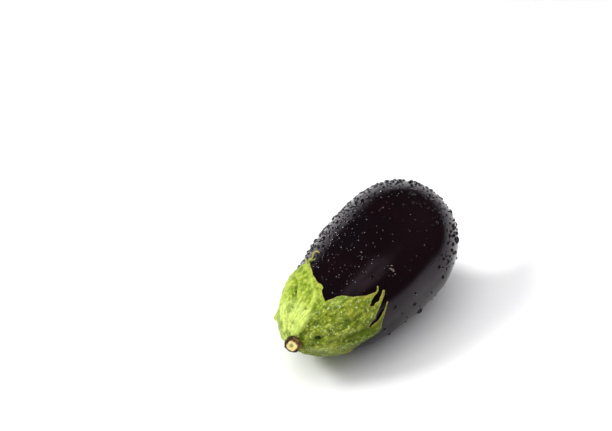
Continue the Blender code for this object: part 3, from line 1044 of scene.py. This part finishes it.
def skin_finish():
    """Waxy near-black purple skin, a little maroon in places, with fine pores and a corky blossom scar.

    It is duller low on the belly.
    """
    material, shader, where = start_material("eggplant_skin_wax")
    body = ramp(noise(where, 26.0, 2.0), (0.35, (0.0036, 0.0024, 0.0034)), (0.55, (0.0050, 0.0024, 0.0032)),
                (0.75, (0.0078, 0.0022, 0.0034)))
    maroon = fade(dot(where, unit((0.35, -0.93, 0.0))), 0.006, 0.040)
    fleck = fade(noise(where, 900.0, 2.0), 0.62, 0.75, 0.0, 0.5)
    ragged = fade(noise(where, 700.0), 0.30, 0.55, 0.5, 1.0)
    scar = fade(sums("MULTIPLY", attribute(shader, "scar"), ragged), 0.18, 0.62)
    cork = ramp(noise(where, 450.0, 4.0), (0.35, (0.055, 0.030, 0.016)), (0.62, (0.21, 0.14, 0.075)))
    body = paint(body, (maroon, (0.0100, 0.0046, 0.0060)), (fleck, (0.010, 0.007, 0.009)), (scar, cork))
    cloud = fade(noise(where, 75.0, 4.0), 0.3, 0.7, 0.085, 0.14)
    grain = noise(stretched(where, (0.25, 1.0, 1.0)), 1300.0, 2.0)
    set_inputs(shader, {
        "Base Color": body,
        "Roughness": sums("ADD", cloud, fade(scar, 0.0, 1.0, 0.0, 0.5)),
        "IOR": 1.345,
        "Specular IOR Level": fade(upward(where), 0.020, 0.060, 0.05, 0.50),
        "Specular Tint": (0.99, 0.86, 1.0),
        "Normal": bump(grain, 0.20, 0.0002)})
    return material


def graze_finish():
    """Dry cork in a scratch: grey-brown, paler in places."""
    material, shader, where = start_material("skin_cork")
    crumbs = noise(where, 900.0)
    body = ramp(crumbs, (0.35, (0.07, 0.05, 0.04)), (0.50, (0.20, 0.17, 0.14)), (0.65, (0.45, 0.42, 0.37)))
    set_inputs(shader, {"Base Color": body, "Roughness": fade(crumbs, 0.3, 0.7, 0.6, 0.85),
                        "Normal": bump(crumbs, 0.4, 0.0003)})
    return material


def calyx_finish():
    """Leathery green, pale fibres and dry yellow-brown edges, with painted highlight on raised tissue and
    painted shade in hollows.
    """
    material, shader, where = start_material("calyx_green_leaf")
    fibres = noise(stretched(attribute(shader, "flow", "Vector"), (26.0, 26.0, 5.0)), 1.0, 4.0, 0.6)
    mottle = noise(where, 360.0, 5.0, 0.65)
    fresh = ramp(mottle, (0.38, (0.13, 0.215, 0.012)), (0.52, (0.32, 0.42, 0.042)),
                 (0.68, (0.48, 0.56, 0.10)))
    # The near lobes' darker green: partly their own olive colour, partly painted shade.
    dark = ramp(mottle, (0.36, (0.085, 0.125, 0.006)), (0.50, (0.225, 0.275, 0.020)),
                (0.66, (0.42, 0.46, 0.07)))
    olive = attribute(shader, "olive")
    shade = attribute(shader, "shade")
    # Painted shade on the near lobe's low outer part, and painted light by the stem on the far lobe.
    body = paint(fresh, (olive, dark), (fade(shade, 0.0, 1.0, 0.0, 0.82), (0.078, 0.116, 0.003)),
                 (fade(shade, -1.0, 0.0, 0.62, 0.0), (0.70, 0.82, 0.22)))
    streak = ramp(fibres, (0.34, (0.55, 0.62, 0.45)), (0.52, (1.0, 1.0, 1.0)), (0.70, (1.35, 1.30, 1.5)))
    # Pale specks on the near lobes: painted glints of dew.
    dew_and_glint_share = sums("MULTIPLY", olive, fade(shade, 0.0, 1.0, 0.62, 0.12))
    specks = sums("MULTIPLY", fade(noise(where, 620.0, 1.0), 0.60, 0.70), dew_and_glint_share)
    uneven = fade(noise(where, 480.0, 4.0, 0.7), 0.32, 0.68, -0.75, 0.75)
    relief = sums("ADD", attribute(shader, "relief_mm"), uneven)
    ragged = sums("ADD", attribute(shader, "edge_mm"), fade(noise(where, 300.0), 0.3, 0.7, -0.8, 1.0))
    straw = ramp(noise(where, 300.0), (0.35, (0.30, 0.25, 0.035)), (0.65, (0.60, 0.53, 0.20)))
    body = paint(blend(0.9, body, streak, "MULTIPLY"),
                 (fade(noise(where, 60.0, 2.0), 0.42, 0.62, 0.0, 0.14), (0.38, 0.42, 0.04)),
                 (fade(noise(where, 170.0, 3.0), 0.38, 0.52, 0.62, 0.0), (0.095, 0.165, 0.008)),
                 (specks, (0.64, 0.72, 0.36)),
                 # Painted shade in hollows and pits, and a painted highlight on raised folds.
                 (fade(relief, -1.25, -0.35, 0.66, 0.0), (0.065, 0.12, 0.007)),
                 (fade(relief, -2.1, -1.3, 0.92, 0.0), (0.008, 0.016, 0.002)),
                 (fade(relief, 0.55, 1.7, 0.0, 0.45), (0.56, 0.67, 0.13)),
                 (fade(ragged, -0.1, 0.9, 0.80, 0.0), straw))
    fine = sums("ADD", sums("MULTIPLY", fibres, 0.6), noise(where, 1100.0, 3.0, 0.6))
    set_inputs(shader, {"Base Color": body, "Roughness": fade(mottle, 0.3, 0.7, 0.24, 0.50),
                        "Specular IOR Level": 0.08, "Normal": bump(fine, 0.55, 0.0006)})
    return material


def stem_finish():
    """Cut stalk: cream wood with a green-brown pith, and a dark dry bark wall and lip."""
    material, shader, where = start_material("cut_stem_wood")
    grain = noise(where, 900.0, 4.0, 0.65)
    from_pith = attribute(shader, "from_pith")
    body = ramp(sums("ADD", from_pith, fade(grain, 0.3, 0.7, -0.06, 0.06)),
                (0.0, (0.42, 0.46, 0.20)), (0.17, (0.27, 0.31, 0.09)), (0.28, (0.80, 0.66, 0.22)),
                (0.64, (0.90, 0.77, 0.36)), (0.78, (0.30, 0.17, 0.045)), (0.86, (0.035, 0.017, 0.007)))
    stain = fade(noise(where, 210.0), 0.44, 0.60, 0.0, 0.55)
    tan = sums("MULTIPLY", stain, fade(from_pith, 0.86, 1.1, 0.35, 1.0))
    set_inputs(shader, {"Base Color": blend(tan, body, (0.34, 0.22, 0.05), "LIGHTEN"),
                        "Roughness": fade(grain, 0.3, 0.7, 0.55, 0.85), "Specular IOR Level": 0.2,
                        "Normal": bump(grain, 0.5, 0.0005)})
    return material


def water_finish(name, colour):
    """Water: clear on the leaf, and tinted dark on the skin as painted shade, so that its drops look like
    dark beads.
    """
    material, shader, where = start_material(name)
    set_inputs(shader, {"Base Color": colour, "Roughness": fade(noise(where, 240.0), 0.3, 0.7, 0.01, 0.05),
                        "IOR": WATER_IOR, "Transmission Weight": 1.0})
    return material


def painted_glint_mist_finish():
    """Specks of mist: half clear, with a pale colour that is a painted glint, some brighter than others."""
    material, shader, where = start_material("mist_painted_glints")
    glint_noise = noise(where, 170.0, 2.0)
    set_inputs(shader, {"Base Color": ramp(glint_noise, (0.35, (0.04, 0.04, 0.045)), (0.65, (0.30, 0.30, 0.32))),
                        "Roughness": fade(glint_noise, 0.3, 0.7, 0.30, 0.12), "IOR": WATER_IOR,
                        "Transmission Weight": 0.5})
    return material


def floor_finish():
    """Matt white sweep with a faint unevenness, which glows where it runs out of the lamps' reach."""
    material, shader, where = start_material("white_floor")
    away = add_node("ShaderNodeVectorMath", {0: where}, operation="LENGTH").outputs["Value"]
    body = ramp(noise(where, 6.0), (0.3, (0.88, 0.88, 0.885)), (0.7, (0.91, 0.91, 0.91)))
    set_inputs(shader, {
        "Base Color": body, "Roughness": 0.6, "Specular IOR Level": 0.2, "Emission Strength": 1.0,
        "Emission Color": blend(fade(away, *FLOOR_GLOW_FROM_TO), (0.0, 0.0, 0.0), FLOOR_GLOW)})
    return material


# ---- the room ----


def build_floor():
    """A flat square sheet, turned square to the camera."""
    turn = math.radians(CAMERA_AZIMUTH)
    half = FLOOR_SIZE / 2
    corners = np.array([[-half, -half], [half, -half], [half, half], [-half, half]])
    spin = np.array([[math.cos(turn), math.sin(turn)], [-math.sin(turn), math.cos(turn)]])
    points = np.column_stack([corners @ spin + FLOOR_CENTRE, np.full(4, -FLOOR_DROP)])
    floor = add_mesh("floor", points, [np.array([[0, 1, 2, 3]])], floor_finish())
    return floor


def build_world():
    """Soft room light, even for matt surfaces; gloss sees a white band at the floor under a dark room."""
    world = bpy.data.worlds.new("soft_room")
    world.use_nodes = True
    nodes = world.node_tree.nodes
    rays = nodes.new("ShaderNodeLightPath").outputs
    where = nodes.new("ShaderNodeTexCoord").outputs["Generated"]
    rise = sums("MULTIPLY", dot(where, SWEEP_RISE_TOWARDS), SWEEP_RISE)
    edge = sums("SUBTRACT", upward(where), rise)
    sweep = fade(edge, SWEEP_HEIGHT - SWEEP_SOFTNESS, SWEEP_HEIGHT + SWEEP_SOFTNESS, 1.0, 0.0)
    glow = fade(dot(where, unit(GLOW_DIRECTION)), 1.0 - GLOW_WIDTH, 1.0)
    glow = sums("MULTIPLY", glow, fade(noise(where, 9.0), 0.35, 0.65, 0.25, 1.0))
    seen = paint(blend(sweep, ROOM_MIRRORED, SWEEP_MIRRORED), (glow, GLOW_COLOUR),
                 (rays["Is Diffuse Ray"], ROOM_LIGHT), (rays["Is Camera Ray"], BACKDROP))
    set_inputs(nodes["Background"], {"Color": seen})
    bpy.context.scene.world = world


def place(data, where, away):
    """Put up a lamp or a camera that faces away from a direction."""
    thing = bpy.data.objects.new(data.name, data)
    thing.location = where
    thing.rotation_euler = away.to_track_quat("Z", "Y").to_euler()
    bpy.context.collection.objects.link(thing)
    return thing


def place_lamp(light, power, where, away, mirrored):
    """Put up a lamp that gloss and water mirror, or not."""
    light.energy = power
    lamp = place(light, where, away)
    lamp.visible_glossy = mirrored
    lamp.visible_transmission = mirrored
    return lamp


def add_lamp(name, towards, distance, size, power, mirrored):
    """A square area lamp that faces the object's middle."""
    light = bpy.data.lights.new(name, "AREA")
    light.shape = "SQUARE"
    light.size = size
    direction = Vector(towards).normalized()
    where = (CAD_BOX[0] + CAD_BOX[1]) / 2 + direction * distance
    return place_lamp(light, power, where, direction, mirrored)


def add_floor_lamp():
    """A soft spot lamp that keeps the shadow short behind the blossom end."""
    light = bpy.data.lights.new("floor_lamp", "SPOT")
    light.spot_size = FLOOR_LAMP_WIDTH
    light.spot_blend = 1.0
    where = Vector(FLOOR_LAMP_PLACE)
    return place_lamp(light, FLOOR_LAMP_POWER, where, where - Vector(FLOOR_LAMP_AIM), False)


def light_only(lamp, name, pieces):
    """Link a lamp to a few pieces, so that it lights nothing else."""
    lit = bpy.data.collections.new(name)
    for piece in pieces:
        lit.objects.link(piece)
    lamp.light_linking.receiver_collection = lit


def build_lights(drops, floor):
    """The lamps: those that light everything, one for the clear water and one for the floor."""
    for lamp in LAMPS:
        add_lamp(*lamp)
    clear = [piece for piece in drops if piece.name != "water_mist_painted_glints"]
    light_only(add_lamp("water_lamp", *WATER_LAMP, True), "wet_places", clear)
    light_only(add_floor_lamp(), "lit_floor", [floor])


def build_camera():
    """The camera, from its azimuth and elevation round its aim."""
    turn = math.radians(CAMERA_AZIMUTH)
    rise = math.radians(CAMERA_ELEVATION)
    away = Vector((math.sin(turn) * math.cos(rise), -math.cos(turn) * math.cos(rise), math.sin(rise)))
    lens = bpy.data.cameras.new("camera")
    lens.lens = CAMERA_LENS
    lens.sensor_width = SENSOR_WIDTH
    bpy.context.scene.camera = place(lens, Vector(CAMERA_AIM) + away * CAMERA_DISTANCE, away)


def main():
    build_skin(skin_finish())
    leaf = calyx_finish()
    upper, edge, s, angle = build_calyx(leaf)
    build_strips("dry_curls", DRY_CURLS, leaf)
    build_strips("skin_graze", SKIN_GRAZE, graze_finish())
    build_stem(stem_finish())
    drops = build_water(water_finish("water_on_skin_painted_dark", DARK_PAINTED_WATER_ON_SKIN), painted_glint_mist_finish())
    drops.append(build_dew(water_finish("water_on_leaf", WATER_ON_LEAF), upper, edge, s, angle))
    floor = build_floor()
    build_world()
    build_lights(drops, floor)
    build_camera()
    bpy.context.scene.view_settings.view_transform = "Standard"


main()
